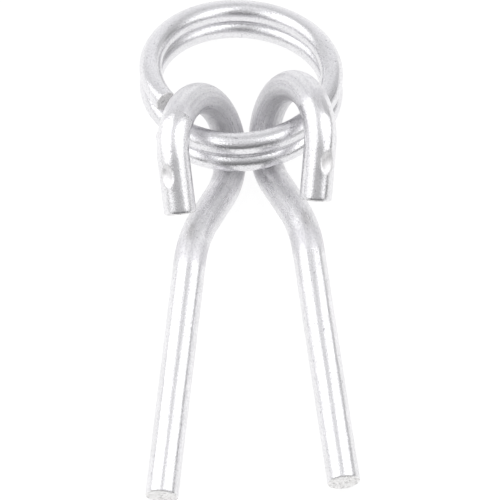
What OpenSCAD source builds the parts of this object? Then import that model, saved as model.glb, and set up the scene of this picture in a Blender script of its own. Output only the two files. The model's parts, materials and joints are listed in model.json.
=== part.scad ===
// Disentanglement puzzle: two bent-rod hooks hang on one open coil ring.
// Lies on the plane z = 0, legs along -Y, coil at +Y. Millimetres, +Z up.

/* [Hook rod] */
// Diameter of the round rod that both hooks are bent from
rod_d = 5; // [4.8:0.05:5.1]
// Bevel around each cut end of the rod
rod_bevel = 0.35; // [0.1:0.05:0.8]

/* [Hook bends] */
// Length of the straight leg, from its cut end to the dog-leg
leg_len = 39; // [25:1:60]
// Centre-line radius of the dog-leg
dogleg_r = 17; // [16:0.5:19]
// Angle of the dog-leg
dogleg_angle = 27.4636; // [26:0.0001:29]
// Straight neck between the dog-leg and the loop
neck_len = 7; // [6.5:0.5:8]
// Turn of the loop's plane about the neck, against the dog-leg's plane
loop_twist = 12.561; // [11:0.001:16]
// Centre-line radius of the loop
loop_r = 8.3; // [8.2:0.1:8.8]
// Angle that the loop turns through, back towards the leg
loop_angle = 240.941; // [238:0.001:242]
// Straight return leg that ends beside the dog-leg
return_len = 8.3; // [6:0.1:8.6]

/* [Tool mark] */
// Distance of the press mark from the free end of the return leg
mark_from_end = 6.2; // [4:0.1:7]
// Depth of the press mark
mark_depth = 0.3; // [0.2:0.1:0.6]
// Radius of the round punch that left the mark
punch_r = 4.5; // [3:0.5:6]

/* [Coil ring] */
// Diameter of the coil's wire
wire_d = 3.5; // [3:0.1:3.55]
// Mean diameter of the coil
coil_d = 28.48; // [28.32:0.16:29.12]
// Rise of the coil in one full turn, as a share of its mean diameter
coil_rise = 0.125; // [0.125:0.001:0.130]
// Number of half turns of wire
half_turns = 4; // [2:1:4]
// Direction of the upper cut end, seen from above
coil_start = 213.8; // [205:0.1:220]
// Bevel around each cut end of the wire
wire_bevel = 0.3; // [0.1:0.05:0.6]

/* [Resting pose] */
// Centre of the coil
coil_centre = [-1, 27.4, 6.73];
// Tilt of the coil, its front edge raised on the two necks
coil_tilt = 14.5; // [13:0.1:15]
// Centre of the left leg's cut end
left_end = [-12.9, -43.3, 2.53];
// Left hook: pitch of the leg, roll about the leg, heading of the leg
left_turn = [4.6, 49.6, -5.9];
// Centre of the right leg's cut end
right_end = [14.5, -40.9, 2.5];
// Right hook: pitch of the leg, roll about the leg, heading of the leg
right_turn = [4.8, -51.5, 7.6];

/* [Hidden] */
$fn = 64;
rod_r = rod_d / 2;
wire_r = wire_d / 2;
coil_r = coil_d / 2;
coil_pitch = coil_rise * coil_d;
// each half turn is a flat half ring, tipped so that its two ends differ by half a pitch
half_turn_tip = asin(coil_rise / 2);
// how far outside the rod's axis the punch's centre stood
punch_offset = rod_r + punch_r - mark_depth;

// Straight rod along +Y from the origin.
module straight(len, r) {
    rotate([-90, 0, 0])
        cylinder(h = len, r = r);
}

// Bevelled cut end that faces -Y, with its face at the origin.
module cut_end(r, bevel) {
    rotate([-90, 0, 0])
        cylinder(h = bevel, r1 = r - bevel, r2 = r);
}

// An arc of rod that leaves the origin along +Y and turns towards +X.
module bend(bend_r, angle, r) {
    translate([bend_r, 0, 0])
        rotate([0, 0, 180 - angle])
            rotate_extrude(angle = angle)
                translate([bend_r, 0])
                    circle(r = r);
}

// Places its children at the far end of such a bend.
module after_bend(bend_r, angle) {
    translate([bend_r, 0, 0])
        rotate([0, 0, -angle])
            translate([-bend_r, 0, 0])
                children();
}

// The return leg: straight rod, bevelled free end, and the punch's mark on the loop's outer side.
module return_leg() {
    difference() {
        union() {
            straight(return_len - rod_bevel, rod_r);
            translate([0, return_len, 0])
                rotate([0, 0, 180])
                    cut_end(rod_r, rod_bevel);
        }
        translate([-punch_offset, return_len - mark_from_end, 0])
            sphere(r = punch_r);
    }
}

// One hook, its leg's cut end at the origin, the leg along +Y and the dog-leg towards +X.
module hook() {
    cut_end(rod_r, rod_bevel);
    translate([0, rod_bevel, 0])
        straight(leg_len - rod_bevel, rod_r);
    translate([0, leg_len, 0]) {
        bend(dogleg_r, dogleg_angle, rod_r);
        after_bend(dogleg_r, dogleg_angle) {
            straight(neck_len, rod_r);
            translate([0, neck_len, 0])
                rotate([0, loop_twist, 0])
                    mirror([1, 0, 0]) {
                        bend(loop_r, loop_angle, rod_r);
                        after_bend(loop_r, loop_angle)
                            return_leg();
                    }
        }
    }
}

// Moves a hook from its own frame to where it lies.
module lay_down(end, turn) {
    translate(end)
        rotate([turn[0], 0, turn[2]])
            rotate([0, turn[1], 0])
                children();
}

// The whole coil about its own axis, wound downwards and clockwise from its upper cut end.
module coil() {
    for (k = [0 : half_turns - 1])
        translate([0, 0, ((half_turns - 1) / 2 - k) * coil_pitch / 2])
            rotate([0, 0, -180 * k])
                rotate([0, half_turn_tip, 0]) {
                    translate([-coil_r, 0, 0])
                        bend(coil_r, 180, wire_r);
                    if (k == 0)
                        translate([-coil_r, -wire_bevel, 0])
                            cut_end(wire_r, wire_bevel);
                    if (k == half_turns - 1)
                        translate([coil_r, -wire_bevel, 0])
                            cut_end(wire_r, wire_bevel);
                }
}

module coil_ring() {
    color([0.80, 0.81, 0.83])
        translate(coil_centre)
            rotate([-coil_tilt, 0, 0])
                rotate([0, 0, coil_start - 180])
                    coil();
}

module left_hook() {
    color([0.84, 0.85, 0.86])
        lay_down(left_end, left_turn)
            hook();
}

// The same hook, bent the other way round.
module right_hook() {
    color([0.84, 0.85, 0.86])
        lay_down(right_end, right_turn)
            mirror([1, 0, 0])
                hook();
}

coil_ring();
left_hook();
right_hook();
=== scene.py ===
"""Disentanglement puzzle of plated steel: two bent-rod hooks on a close-wound coil ring, on a white table."""
import json
import math

import bpy
from mathutils import Matrix, Vector, noise


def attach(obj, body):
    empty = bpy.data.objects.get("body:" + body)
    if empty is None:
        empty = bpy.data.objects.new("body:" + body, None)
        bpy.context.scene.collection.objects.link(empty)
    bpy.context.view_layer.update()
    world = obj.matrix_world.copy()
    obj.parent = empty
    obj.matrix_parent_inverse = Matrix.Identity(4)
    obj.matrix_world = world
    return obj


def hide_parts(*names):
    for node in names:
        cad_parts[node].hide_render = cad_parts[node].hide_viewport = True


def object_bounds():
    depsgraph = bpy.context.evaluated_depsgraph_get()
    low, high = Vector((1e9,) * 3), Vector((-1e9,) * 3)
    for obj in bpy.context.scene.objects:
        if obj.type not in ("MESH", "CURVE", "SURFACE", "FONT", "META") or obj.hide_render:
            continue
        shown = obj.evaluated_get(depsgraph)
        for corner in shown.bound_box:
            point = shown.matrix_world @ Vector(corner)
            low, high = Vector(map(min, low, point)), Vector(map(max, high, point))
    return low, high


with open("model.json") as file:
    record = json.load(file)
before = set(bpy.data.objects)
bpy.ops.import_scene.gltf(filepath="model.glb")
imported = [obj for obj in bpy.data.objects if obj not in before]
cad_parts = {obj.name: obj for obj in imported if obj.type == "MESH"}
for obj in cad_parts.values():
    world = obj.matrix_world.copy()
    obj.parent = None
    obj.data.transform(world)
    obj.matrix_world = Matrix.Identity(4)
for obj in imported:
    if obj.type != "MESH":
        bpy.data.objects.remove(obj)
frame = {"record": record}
cad_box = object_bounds()
record = frame["record"]
MM = 0.001

# ---------------------------------------------------------------- the design, in millimetres and degrees
mounts = {m["name"]: m for m in record["mounts"]}
ROD_R = mounts["left_leg"]["dims"]["r_mm"]
ROD_BEVEL = 0.35
LEG_LEN = mounts["left_leg"]["dims"]["length_mm"] + ROD_BEVEL
DOGLEG_R, DOGLEG_ANGLE = 17.0, 27.4636
NECK_LEN = 7.0
LOOP_TWIST = 12.561                   # turn of the loop's plane about the neck
LOOP_R, LOOP_ANGLE = 8.3, 240.941
RETURN_LEN = 8.3
MARK_FROM_END, MARK_DEPTH = 6.2, 0.3  # the press mark on each return leg
PUNCH_R = 4.5
LEFT_ROLL, RIGHT_ROLL = 49.6, -51.5   # roll of each hook about its leg

WIRE_R, WIRE_BEVEL = 1.75, 0.3
COIL_R = 14.24
COIL_RISE = 0.125                     # rise in one turn, as a share of the coil's diameter
HALF_TURNS = 4
COIL_START = 213.8                    # direction of the upper cut end, seen from above
COIL_TILT = 14.5
COIL_CENTRE = Vector((-1.0, 27.4, 6.73))

# ---------------------------------------------------------------- how fine the meshes are, and their flaws
AROUND = 64           # points in a ring
ROD_STEP, WIRE_STEP = 0.3, 0.42
EDGE_RINGS, FACE_RINGS = 5, 9
FACE_EDGE = 0.6       # share of the bevel that belongs to the torn cut face
WAVINESS = 0.014      # rolling waves left in drawn rod
PEEL = 0.006          # orange peel where the rod was bent
FLATTENING = 0.016    # share of its radius that a rod loses across a tight bend
END_ROUGHNESS = 0.035
SHEAR_STEP = 0.06     # how much lower the torn half of a cut face is
RIM_HEIGHT, RIM_WIDTH = 0.035, 0.35   # metal raised round a press mark
PUNCH_REACH = 1.5     # how far the rim is followed, in punch radii
MATT_ANGLE = 190.0    # how far round its loop a hook is matt from the bending tool
MATT_EDGE = 0.6
NECK_MATT = 0.45      # how matt the dog-leg and the neck are, where a loop is 1
DOGLEG_SCUFF = (LEG_LEN + 1.0, 2.6)   # middle and half width of the tool's scuff at the dog-leg
LOOP_SCUFF_HALF = 0.9


# ---------------------------------------------------------------- centre lines
def turn(axis, degrees):
    return Matrix.Rotation(math.radians(degrees), 4, axis)


def along(here, length, bend, towards):
    """The frame a length further on. +Y is the way ahead; bend is 1 / radius, in the direction that
    towards, an angle about the way ahead, turns +X to."""
    if bend == 0:
        return here @ Matrix.Translation((0, length, 0))
    a = length * bend
    step = Matrix.Translation(((1 - math.cos(a)) / bend, math.sin(a) / bend, 0)) @ Matrix.Rotation(-a, 4, "Z")
    return here @ turn("Y", towards) @ step @ turn("Y", -towards)


def stations(start, run, step):
    """[(distance, frame, towards)] along a run of (length, bend, towards) pieces."""
    out, here, done = [], start, 0.0
    for length, bend, towards in run:
        count = max(2, math.ceil(length / step))
        for i in range(count):
            part = length * i / count
            out.append((done + part, along(here, part, bend, towards), towards))
        here = along(here, length, bend, towards)
        done += length
    out.append((done, here, run[-1][2]))
    return out


def hook_run(side):
    """The pieces of one hook from its leg's cut end; side is 1 for the left hook and -1 for the right."""
    return [
        (LEG_LEN, 0, 0),
        (DOGLEG_R * math.radians(DOGLEG_ANGLE), side / DOGLEG_R, 0),
        (NECK_LEN, 0, 0),
        (LOOP_R * math.radians(LOOP_ANGLE), -side / LOOP_R, side * LOOP_TWIST),
        (RETURN_LEN, 0, side * LOOP_TWIST),
    ]


def hook_start(mount, roll):
    """The frame at a leg's cut end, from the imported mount: +Y up the leg, then rolled about it."""
    ahead = -Vector(mount["axis"])
    pitch = math.degrees(math.asin(ahead.z))
    heading = math.degrees(math.atan2(-ahead.x, ahead.y))
    place = Matrix.Translation(Vector(mount["pos_m"]) / MM)
    return place @ turn("Z", heading) @ turn("X", pitch) @ turn("Y", roll)


def coil_stations():
    """The coil's centre line: flat half rings, each tipped so that together they climb like a spring."""
    tip = math.degrees(math.asin(COIL_RISE / 2))
    pitch = 2 * COIL_R * COIL_RISE
    lie = Matrix.Translation(COIL_CENTRE) @ turn("X", -COIL_TILT) @ turn("Z", COIL_START - 180)
    half = math.pi * COIL_R
    out = []
    for k in range(HALF_TURNS):
        height = ((HALF_TURNS - 1) / 2 - k) * pitch / 2
        start = lie @ Matrix.Translation((0, 0, height)) @ turn("Z", -180 * k) @ turn("Y", tip)
        first, last = k == 0, k == HALF_TURNS - 1
        run = [(half, 1 / COIL_R, 0)]
        if first:
            run.insert(0, (WIRE_BEVEL, 0, 0))
        if last:
            run.append((WIRE_BEVEL, 0, 0))
        back = WIRE_BEVEL if first else 0
        piece = stations(start @ Matrix.Translation((-COIL_R, -back, 0)), run, WIRE_STEP)
        if not last:
            piece.pop()
        out += [(k * half + d - back + WIRE_BEVEL, m, towards) for d, m, towards in piece]
    return steady(out)


def steady(line):
    """Rolls each frame about the way ahead so that none turns against the one before it."""
    out, across = [], None
    for d, m, towards in line:
        ahead = m.to_3x3() @ Vector((0, 1, 0))
        own = m.to_3x3() @ Vector((1, 0, 0))
        if across is None:
            across = own
        across = (across - ahead * across.dot(ahead)).normalized()
        up = across.cross(ahead)
        new = Matrix((across, ahead, up)).transposed().to_4x4()
        new.translation = m.translation
        # the angle about the way ahead from the steadied frame to the frame that the bend is told in
        roll = math.degrees(math.atan2(-own.dot(up), own.dot(across)))
        out.append((d, new, towards + roll))
    return out


# ---------------------------------------------------------------- the surface round a centre line
def smooth(x, low, high):
    t = min(1.0, max(0.0, (x - low) / (high - low)))
    return t * t * (3 - 2 * t)


def bent_share(distance, worked):
    """0 on bright rod and 1 where bending left it matt, from [(first, last, how matt)] distances."""
    share = 0.0
    for low, high, matt in worked:
        begun = smooth(distance, low - MATT_EDGE, low + MATT_EDGE)
        ended = smooth(distance, high - MATT_EDGE, high + MATT_EDGE)
        share = max(share, begun * (1 - ended) * matt)
    return share


def scuffed(distance, scuffs):
    """How strongly the bending tool scuffed the rod here, 0 to 1, from [(middle, half width)]."""
    return max((1 - smooth(abs(distance - middle), half * 0.5, half) for middle, half in scuffs), default=0.0)


def end_profile(radius, bevel):
    """[(inset along, radius)] from the full rod over a rounded edge to the middle of the cut face."""
    edge = []
    for i in range(1, EDGE_RINGS + 1):
        a = math.pi / 2 * i / EDGE_RINGS
        edge.append((bevel * (1 - math.sin(a)), radius - bevel * (1 - math.cos(a))))
    inner = radius - bevel
    return edge + [(0.0, inner * (1 - i / FACE_RINGS)) for i in range(1, FACE_RINGS)]


def cut_face_relief(x, z, radius, seed):
    """How far a sheared face stands in: a burnished half, a torn half a little lower, and fine tearing."""
    tear = 0.5 + 0.5 * noise.noise(Vector((x * 1.6, z * 1.6, seed)))
    fine = noise.noise(Vector((x * 5.0, z * 5.0, seed + 9)))
    lower = smooth(z + 0.5 * noise.noise(Vector((x * 2, 0, seed + 4))), -0.25 * radius, 0.1 * radius)
    fade = 1 - smooth(math.hypot(x, z), radius * 0.7, radius * 0.88)
    return fade * (SHEAR_STEP * lower + END_ROUGHNESS * (tear + 0.5 * fine * lower))


def side_relief(c, s, distance, radius, share, towards, seed):
    """How far the side of the rod stands out at the angle whose cosine and sine are c and s."""
    wave = noise.noise(Vector((c * 1.3, s * 1.3, distance * 0.22 + seed)))
    peel = noise.noise(Vector((c * radius * 1.9, s * radius * 1.9, distance * 1.9 + seed)))
    across_bend = c * math.cos(math.radians(towards)) - s * math.sin(math.radians(towards))
    return WAVINESS * wave + PEEL * share * peel - FLATTENING * radius * share * across_bend ** 2


def pressed(p, centre, punch, axis_point, axis_way):
    """A point of the rod after a round punch was pressed in, and how much it was pressed, 0 to 1."""
    away = (p - centre).length
    if away > punch * PUNCH_REACH:
        return p, 0.0
    foot = axis_point + axis_way * (p - axis_point).dot(axis_way)
    outward = (p - foot).normalized()
    if away < punch:
        # slide the point towards the rod's axis until it lies on the punch
        b = (p - centre).dot(outward)
        c = away * away - punch * punch
        return p - outward * (b + math.sqrt(b * b - c)), 1.0
    rim = math.exp(-((away - punch) / RIM_WIDTH) ** 2)
    return p + outward * RIM_HEIGHT * rim, 0.5 * rim


class Skin:
    """The rings of points round a rod, and at each point what its surface is like:
    lay, where it is on the straight rod (x, z, distance), for the patterns of its material;
    bent, worn, torn and scuff, how far it was bent, punched, sheared or scuffed, 0 to 1."""

    def __init__(self, radius, seed, dents, scuffs):
        self.radius, self.seed, self.dents, self.scuffs = radius, seed, dents, scuffs
        self.points, self.faces, self.lay = [], [], []
        self.marks = {"bent": [], "worn": [], "torn": [], "scuff": []}

    def add(self, point, lay, bent=0.0, worn=0.0, torn=0.0, scuff=0.0):
        self.points.append(point)
        self.lay.append(lay)
        for mark, value in zip(self.marks.values(), (bent, worn, torn, scuff)):
            mark.append(value)

    def ring(self, here, distance, r, share=0.0, towards=0.0, inset=0.0, way=1, face=0):
        """One ring of radius r, inset from here along way (1 or -1); face is 1 or 2 on a cut face, else 0."""
        for k in range(AROUND):
            a = 2 * math.pi * k / AROUND
            c, s = math.cos(a), math.sin(a)
            out, back = r, inset
            if face:
                back += cut_face_relief(c * r, s * r, self.radius, self.seed + face)
            else:
                out += side_relief(c, s, distance, self.radius, share, towards, self.seed)
            p = here @ Vector((out * c, back * way, out * s))
            mark = 0.0
            for dent in self.dents:
                p, depth = pressed(p, *dent)
                mark = max(mark, depth)
            torn = 1.0 if face else 0.0
            self.add(p * MM, (c * r, s * r, distance), share, mark, torn, scuffed(distance, self.scuffs))

    def join(self):
        """Joins each ring to the next, and closes the two ends over a point in the middle of each."""
        rings = len(self.points) // AROUND
        for base in range(0, (rings - 1) * AROUND, AROUND):
            for k in range(AROUND):
                a, b = base + k, base + (k + 1) % AROUND
                self.faces.append((a, a + AROUND, b + AROUND, b))
        for base, far in ((0, False), ((rings - 1) * AROUND, True)):
            middle = sum((self.points[base + k] for k in range(AROUND)), Vector()) / AROUND
            self.add(middle, (0.0, 0.0, self.lay[base][2]), torn=1.0)
            hub = len(self.points) - 1
            for k in range(AROUND):
                a, b = base + k, base + (k + 1) % AROUND
                self.faces.append((hub, b, a) if far else (hub, a, b))

    def mesh(self, name):
        mesh = bpy.data.meshes.new(name)
        mesh.from_pydata(self.points, [], self.faces)
        mesh.validate()
        mesh.shade_smooth()
        lay = mesh.attributes.new("lay", "FLOAT_VECTOR", "POINT")
        lay.data.foreach_set("vector", [x for place in self.lay for x in place])
        for mark, values in self.marks.items():
            mesh.attributes.new(mark, "FLOAT", "POINT").data.foreach_set("value", values)
        mesh.update()
        return mesh


def rod_mesh(name, line, radius, bevel, seed, worked=(), dents=(), scuffs=()):
    """A closed tube along line with rounded, sheared ends, drawn-rod waves, and punched dents."""
    skin = Skin(radius, seed, dents, scuffs)
    total = line[-1][0]
    profile = end_profile(radius, bevel)
    for inset, r in reversed(profile):
        skin.ring(line[0][1], 0.0, r, inset=inset, face=1 if inset < bevel * FACE_EDGE else 0)
    for distance, here, towards in line:
        if bevel <= distance <= total - bevel:
            skin.ring(here, distance, radius, bent_share(distance, worked), towards)
    for inset, r in profile:
        skin.ring(line[-1][1], total, r, inset=inset, way=-1, face=2 if inset < bevel * FACE_EDGE else 0)
    skin.join()
    return skin.mesh(name)


# ---------------------------------------------------------------- materials
# Each pattern's scale per millimetre (across, across, along the rod), its detail and its roughness
PATTERNS = {
    "lines": ((4.5, 4.5, 0.12), 4.0, 0.62),      # fine lines from the drawing die
    "speckle": ((4.6, 4.6, 3.2), 2.0, 0.6),      # grain of the plate
    "cloud": ((0.35, 0.35, 0.16), 3.0, 0.6),     # slow changes of its tint
    "peel": ((1.5, 1.5, 1.5), 3.0, 0.6),         # orange peel in the bends
    "streak": ((2.0, 2.0, 0.07), 3.0, 0.7),      # draw lines that bending opened
    "tears": ((3.2, 1.3, 1.0), 4.0, 0.75),       # torn grain of a cut face
    "rub": ((0.5, 0.5, 5.5), 4.0, 0.7),          # the bending tool's lines across the rod
    "scratched": ((0.5, 0.5, 0.4), 2.0, 0.5),    # where the hairline scratches are
    "flecks": ((2.6, 2.6, 1.7), 1.0, 0.5),       # dark specks
}
# Where a pattern begins to count as a mark, and where it counts fully
SPOTS = {
    "streak": (0.44, 0.62),
    "tears": (0.50, 0.66),
    "flecks": (0.70, 0.76),
    "pits": (0.43, 0.66),
    "scratched": (0.52, 0.62),
}
SCRATCH_CELLS = (0.9, 0.9, 0.13)
SCRATCH_WIDTH = (0.004, 0.016)
MATT_DIFFUSE = 0.28                              # how dull a tight bend is


def link(tree, out, into):
    tree.links.new(out, into)


def math_node(tree, operation, a, b, clamp=False):
    n = tree.nodes.new("ShaderNodeMath")
    n.operation = operation
    n.use_clamp = clamp
    for socket, value in zip(n.inputs, (a, b)):
        if isinstance(value, (int, float)):
            socket.default_value = value
        else:
            link(tree, value, socket)
    return n.outputs[0]


def attribute(tree, name, output="Fac"):
    n = tree.nodes.new("ShaderNodeAttribute")
    n.attribute_name = name
    return n.outputs[output]


def scaled(tree, vector, scale):
    n = tree.nodes.new("ShaderNodeVectorMath")
    n.operation = "MULTIPLY"
    link(tree, vector, n.inputs[0])
    n.inputs[1].default_value = scale
    return n.outputs[0]


def pattern(tree, lay, name):
    """The noise pattern of that name in PATTERNS, 0 to 1."""
    scale, detail, roughness = PATTERNS[name]
    n = tree.nodes.new("ShaderNodeTexNoise")
    n.inputs["Scale"].default_value = 1.0
    n.inputs["Detail"].default_value = detail
    n.inputs["Roughness"].default_value = roughness
    link(tree, scaled(tree, lay, scale), n.inputs["Vector"])
    return n.outputs["Fac"]


def hairlines(tree, lay):
    """Thin long scratches, the edges of stretched cells."""
    cells = tree.nodes.new("ShaderNodeTexVoronoi")
    cells.feature = "DISTANCE_TO_EDGE"
    cells.inputs["Scale"].default_value = 1.0
    link(tree, scaled(tree, lay, SCRATCH_CELLS), cells.inputs["Vector"])
    return ramp(tree, cells.outputs["Distance"], *SCRATCH_WIDTH, 1.0, 0.0)


def ramp(tree, value, low, high, to_low=0.0, to_high=1.0):
    n = tree.nodes.new("ShaderNodeMapRange")
    n.interpolation_type = "SMOOTHSTEP"
    link(tree, value, n.inputs["Value"])
    for socket, number in zip(("From Min", "From Max", "To Min", "To Max"), (low, high, to_low, to_high)):
        n.inputs[socket].default_value = number
    return n.outputs["Result"]


def mixed(tree, factor, a, b):
    n = tree.nodes.new("ShaderNodeMix")
    n.data_type = "RGBA"
    link(tree, factor, n.inputs["Factor"])
    for socket, value in ((n.inputs["A"], a), (n.inputs["B"], b)):
        if isinstance(value, tuple):
            socket.default_value = (*value, 1.0)
        else:
            link(tree, value, socket)
    return n.outputs["Result"]


def bump(tree, height, distance_mm, before=None):
    n = tree.nodes.new("ShaderNodeBump")
    n.inputs["Strength"].default_value = 1.0
    n.inputs["Distance"].default_value = distance_mm * MM
    link(tree, height, n.inputs["Height"])
    if before is not None:
        link(tree, before, n.inputs["Normal"])
    return n.outputs["Normal"]


def both(tree, a, b):
    return math_node(tree, "MULTIPLY", a, b)


def principled(name, colour, roughness):
    material = bpy.data.materials.new(name)
    material.use_nodes = True
    shader = material.node_tree.nodes["Principled BSDF"]
    shader.inputs["Base Color"].default_value = (*colour, 1)
    shader.inputs["Roughness"].default_value = roughness
    return material, shader


def plated_steel(name, bright, tint, roughness, bent_roughness, grain, end_diffuse):
    """Bright plate on drawn steel. The colour wanders from bright to tint, the grain is how deep the
    speckle is in millimetres, and end_diffuse is how dull a cut face is."""
    material, shader = principled(name, bright, roughness)
    tree = material.node_tree
    lay = attribute(tree, "lay", "Vector")
    bent, worn, torn, scuff = (attribute(tree, mark) for mark in ("bent", "worn", "torn", "scuff"))
    lines = pattern(tree, lay, "lines")
    speckle = pattern(tree, lay, "speckle")
    cloud = pattern(tree, lay, "cloud")
    peel = pattern(tree, lay, "peel")
    rub = pattern(tree, lay, "rub")
    streak = ramp(tree, pattern(tree, lay, "streak"), *SPOTS["streak"])
    tears = ramp(tree, pattern(tree, lay, "tears"), *SPOTS["tears"])
    flecks = ramp(tree, pattern(tree, lay, "flecks"), *SPOTS["flecks"])
    pits = ramp(tree, speckle, *SPOTS["pits"])
    scratched = ramp(tree, pattern(tree, lay, "scratched"), *SPOTS["scratched"])
    scratch = both(tree, hairlines(tree, lay), scratched)
    opened = both(tree, bent, streak)
    rubbed = both(tree, scuff, rub)
    ragged = both(tree, torn, tears)

    colour = mixed(tree, ramp(tree, cloud, 0.35, 0.65), bright, tint)
    for mark, share, shade in (
        (pits, 0.40, (0.54, 0.535, 0.56)),
        (scratch, 0.40, (0.45, 0.44, 0.47)),
        (flecks, 0.55, (0.36, 0.35, 0.38)),
        (rubbed, 0.55, (0.60, 0.59, 0.62)),
        (opened, 0.30, (0.50, 0.49, 0.53)),
        (worn, 0.30, (0.78, 0.76, 0.74)),
        (torn, 0.80, (0.93, 0.92, 0.91)),
        (ragged, 0.40, (0.45, 0.44, 0.44)),
    ):
        colour = mixed(tree, both(tree, mark, share), colour, shade)
    link(tree, colour, shader.inputs["Base Color"])

    dull = math_node(tree, "ADD", both(tree, bent, MATT_DIFFUSE), both(tree, torn, end_diffuse))
    link(tree, math_node(tree, "SUBTRACT", 1.0, dull), shader.inputs["Metallic"])

    rough = math_node(tree, "MULTIPLY_ADD", bent, bent_roughness - roughness)
    rough.node.inputs[2].default_value = roughness
    for more in (
        ramp(tree, lines, 0.3, 0.7, -0.03, 0.03),
        ramp(tree, cloud, 0.3, 0.7, -0.03, 0.05),
        ramp(tree, speckle, 0.35, 0.70, -0.03, 0.06),
        both(tree, worn, 0.14),
        both(tree, torn, 0.10),
        both(tree, opened, -0.12),
        both(tree, scuff, 0.16),
        both(tree, scratch, 0.15),
    ):
        rough = math_node(tree, "ADD", rough, more, clamp=True)
    link(tree, rough, shader.inputs["Roughness"])

    normal = None
    for height, depth_mm in (
        (lines, 0.010),
        (speckle, grain),
        (both(tree, speckle, bent), 0.045),
        (both(tree, peel, bent), 0.070),
        (opened, -0.030),
        (rubbed, 0.030),
        (ragged, -0.10),
        (both(tree, scratch, -1.0), 0.006),
    ):
        normal = bump(tree, height, depth_mm, normal)
    link(tree, normal, shader.inputs["Normal"])
    return material


# ---------------------------------------------------------------- the pieces
def add_piece(name, mesh, material, body, node):
    mesh.materials.append(material)
    piece = bpy.data.objects.new(name, mesh)
    bpy.context.scene.collection.objects.link(piece)
    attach(piece, body)
    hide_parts(node)
    return piece


def make_hook(side, mount, roll, seed):
    """One hook's mesh; side is 1 for the left hook and -1 for the right."""
    line = stations(hook_start(mount, roll), hook_run(side), ROD_STEP)
    total, tip, towards = line[-1]
    outer = (tip.to_3x3() @ turn("Y", towards).to_3x3() @ Vector((side, 0, 0))).normalized()
    ahead = (tip.to_3x3() @ Vector((0, 1, 0))).normalized()
    at = tip.translation - ahead * MARK_FROM_END
    punch = at + outer * (ROD_R + PUNCH_R - MARK_DEPTH)
    loop_start = total - RETURN_LEN - LOOP_R * math.radians(LOOP_ANGLE)
    matt_end = loop_start + LOOP_R * math.radians(MATT_ANGLE)
    worked = [(LEG_LEN, loop_start, NECK_MATT), (loop_start, matt_end, 1.0)]
    scuffs = [DOGLEG_SCUFF, (matt_end, LOOP_SCUFF_HALF)]
    return rod_mesh("hook_rod", line, ROD_R, ROD_BEVEL, seed, worked, [(punch, PUNCH_R, at, ahead)], scuffs)


rod_steel = plated_steel(
    "plated_rod_steel", bright=(0.895, 0.889, 0.905), tint=(0.845, 0.842, 0.852),
    roughness=0.215, bent_roughness=0.42, grain=0.016, end_diffuse=0.05)
wire_steel = plated_steel(
    "plated_wire_steel", bright=(0.870, 0.864, 0.881), tint=(0.825, 0.822, 0.837),
    roughness=0.22, bent_roughness=0.22, grain=0.024, end_diffuse=0.60)

add_piece("left_hook_rod", make_hook(1, mounts["left_leg"], LEFT_ROLL, 3.0), rod_steel,
          "hook_left", "left_hook")
add_piece("right_hook_rod", make_hook(-1, mounts["right_leg"], RIGHT_ROLL, 17.0), rod_steel,
          "hook_right", "right_hook")
add_piece("coil_ring_wire", rod_mesh("coil_wire", coil_stations(), WIRE_R, WIRE_BEVEL, 31.0), wire_steel,
          "coil", "coil_ring")


# ---------------------------------------------------------------- table, light and camera
TABLE_HALF = 1.5
TABLE_GLOW, TABLE_WHITE = 0.88, 0.19
# The tent, in metres. Each side: its name, which way it is, the (distance from the middle, height) of its
# lower, middle and upper edge, and its front and back
TENT = (
    ("left", -1, ((0.109, 0.020), (0.103, 0.055), (0.041, 0.135)), -0.078, 0.078),
    ("right", 1, ((0.064, 0.027), (0.050, 0.076), (0.047, 0.300)), -0.043, 0.033),
)
PANEL_LIGHT = 0.88
# How bright the room is overhead, from the horizon in front (0) over the top (90) to the horizon behind (180)
ROOM = (
    (0, 0.24), (12, 0.20), (24, 0.22), (34, 0.33), (44, 0.50), (54, 0.63), (64, 0.73), (76, 0.77),
    (90, 0.90), (104, 0.86), (116, 0.70), (130, 0.72), (142, 0.84), (156, 0.95), (180, 1.00),
)
ROOM_TINT = 0.985                     # red and green, where blue is 1
# Darker stands in the room: the way to each, and how much of the light it takes
STANDS = (((0.80, 0.60), 0.30), ((-0.79, 0.62), 0.15))
STAND_EDGE, STAND_TOP = (0.90, 0.985), (0.50, 0.75)
# The room is darker beyond the sides of the tent too
BESIDE_EDGE, BESIDE_TOP, BESIDE_SHARE = (0.80, 0.93), (0.30, 0.60), 0.5
CAMERA_TARGET = Vector((0.37, 0.9, 0.0)) * MM
CAMERA_ELEVATION, CAMERA_DISTANCE = 60.2, 0.700
CAMERA_LENS = 324.3


def light_table():
    """A lit white table top, which lets only a faint shadow show."""
    middle = (cad_box[0] + cad_box[1]) / 2
    mesh = bpy.data.meshes.new("table")
    signs = ((-1, -1), (1, -1), (1, 1), (-1, 1))
    corners = [(middle.x + sx * TABLE_HALF, middle.y + sy * TABLE_HALF, 0.0) for sx, sy in signs]
    mesh.from_pydata(corners, [], [(0, 1, 2, 3)])
    material, shader = principled("white_table", (TABLE_WHITE, TABLE_WHITE, TABLE_WHITE), 0.8)
    shader.inputs["Specular IOR Level"].default_value = 0.0
    shader.inputs["Emission Color"].default_value = (1, 1, 1, 1)
    shader.inputs["Emission Strength"].default_value = TABLE_GLOW
    mesh.materials.append(material)
    table = bpy.data.objects.new("table", mesh)
    bpy.context.scene.collection.objects.link(table)


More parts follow.
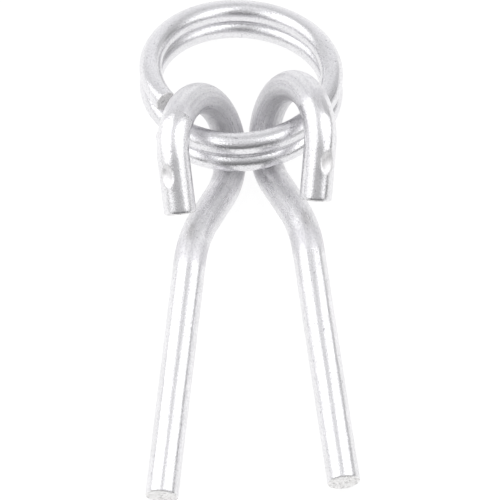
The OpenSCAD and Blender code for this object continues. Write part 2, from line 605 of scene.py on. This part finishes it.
def panel(name, low, high, front, back):
    """A diffuser beside the object, as an area light. Its lower and upper edges are at low and high,
    (x, z) in metres, and it reaches from y = front to y = back. It faces the line x = 0."""
    up = Vector((high[0] - low[0], 0, high[1] - low[1]))
    data = bpy.data.lights.new(name, "AREA")
    data.shape = "RECTANGLE"
    data.size, data.size_y = back - front, up.length
    data.energy = PANEL_LIGHT * math.pi * data.size * data.size_y
    light = bpy.data.objects.new(name, data)
    light.location = ((low[0] + high[0]) / 2, (front + back) / 2, (low[1] + high[1]) / 2)
    y_axis = up.normalized()
    x_axis = Vector((0, math.copysign(1, low[0]), 0))
    z_axis = x_axis.cross(y_axis)
    light.rotation_mode = "QUATERNION"
    light.rotation_quaternion = Matrix((x_axis, y_axis, z_axis)).transposed().to_quaternion()
    light.visible_camera = False
    bpy.context.scene.collection.objects.link(light)


def light_tent():
    """A lit diffuser close to each side of the object, each in two flat parts, with a gap overhead."""
    for name, side, edges, front, back in TENT:
        for part, low, high in (("wall", edges[0], edges[1]), ("roof", edges[1], edges[2])):
            panel(f"{name}_{part}", (side * low[0], low[1]), (side * high[0], high[1]), front, back)


def studio_room():
    """The room beyond the tent: dim in front, bright behind, with a darker stand at each back corner."""
    world = bpy.data.worlds.new("studio")
    world.use_nodes = True
    tree = world.node_tree
    where = tree.nodes.new("ShaderNodeTexCoord").outputs["Generated"]
    split = tree.nodes.new("ShaderNodeSeparateXYZ")
    link(tree, where, split.inputs[0])
    x, y, z = split.outputs
    over = math_node(tree, "ARCTAN2", math_node(tree, "MAXIMUM", z, 0.0), both(tree, y, -1.0))
    shades = tree.nodes.new("ShaderNodeValToRGB")
    link(tree, math_node(tree, "DIVIDE", over, math.pi), shades.inputs["Fac"])
    stops = shades.color_ramp.elements
    for i, (angle, light) in enumerate(ROOM):
        stop = stops[i] if i < 2 else stops.new(angle / 180)
        stop.position = angle / 180
        stop.color = (light * ROOM_TINT, light * ROOM_TINT, light, 1)
    level = math_node(tree, "SQRT", math_node(tree, "SUBTRACT", 1.0, both(tree, z, z)), 0.0)
    strength = 1.0
    for (stand_x, stand_y), share in STANDS:
        towards = math_node(tree, "ADD", both(tree, x, stand_x), both(tree, y, stand_y))
        near = ramp(tree, math_node(tree, "DIVIDE", towards, level), *STAND_EDGE, 0.0, share)
        below_top = ramp(tree, z, *STAND_TOP, 1.0, 0.0)
        strength = math_node(tree, "SUBTRACT", strength, both(tree, near, below_top))
    beside = ramp(tree, math_node(tree, "ABSOLUTE", x, 0.0), *BESIDE_EDGE, 0.0, BESIDE_SHARE)
    beside = both(tree, beside, ramp(tree, z, *BESIDE_TOP, 1.0, 0.0))
    strength = both(tree, strength, math_node(tree, "SUBTRACT", 1.0, beside))
    background = tree.nodes["Background"]
    link(tree, shades.outputs["Color"], background.inputs["Color"])
    link(tree, strength, background.inputs["Strength"])
    bpy.context.scene.world = world


def camera():
    """The photo's view, from in front and above."""
    elevation = math.radians(CAMERA_ELEVATION)
    back = Vector((0, -math.cos(elevation), math.sin(elevation)))
    data = bpy.data.cameras.new("camera")
    data.sensor_width = 36.0
    data.lens = CAMERA_LENS
    data.clip_start, data.clip_end = 0.01, 20.0
    cam = bpy.data.objects.new("camera", data)
    cam.location = CAMERA_TARGET + back * CAMERA_DISTANCE
    cam.rotation_mode = "QUATERNION"
    cam.rotation_quaternion = (-back).to_track_quat("-Z", "Y")
    bpy.context.scene.collection.objects.link(cam)
    bpy.context.scene.camera = cam


light_table()
light_tent()
studio_room()
camera()
bpy.context.scene.view_settings.view_transform = "Standard"
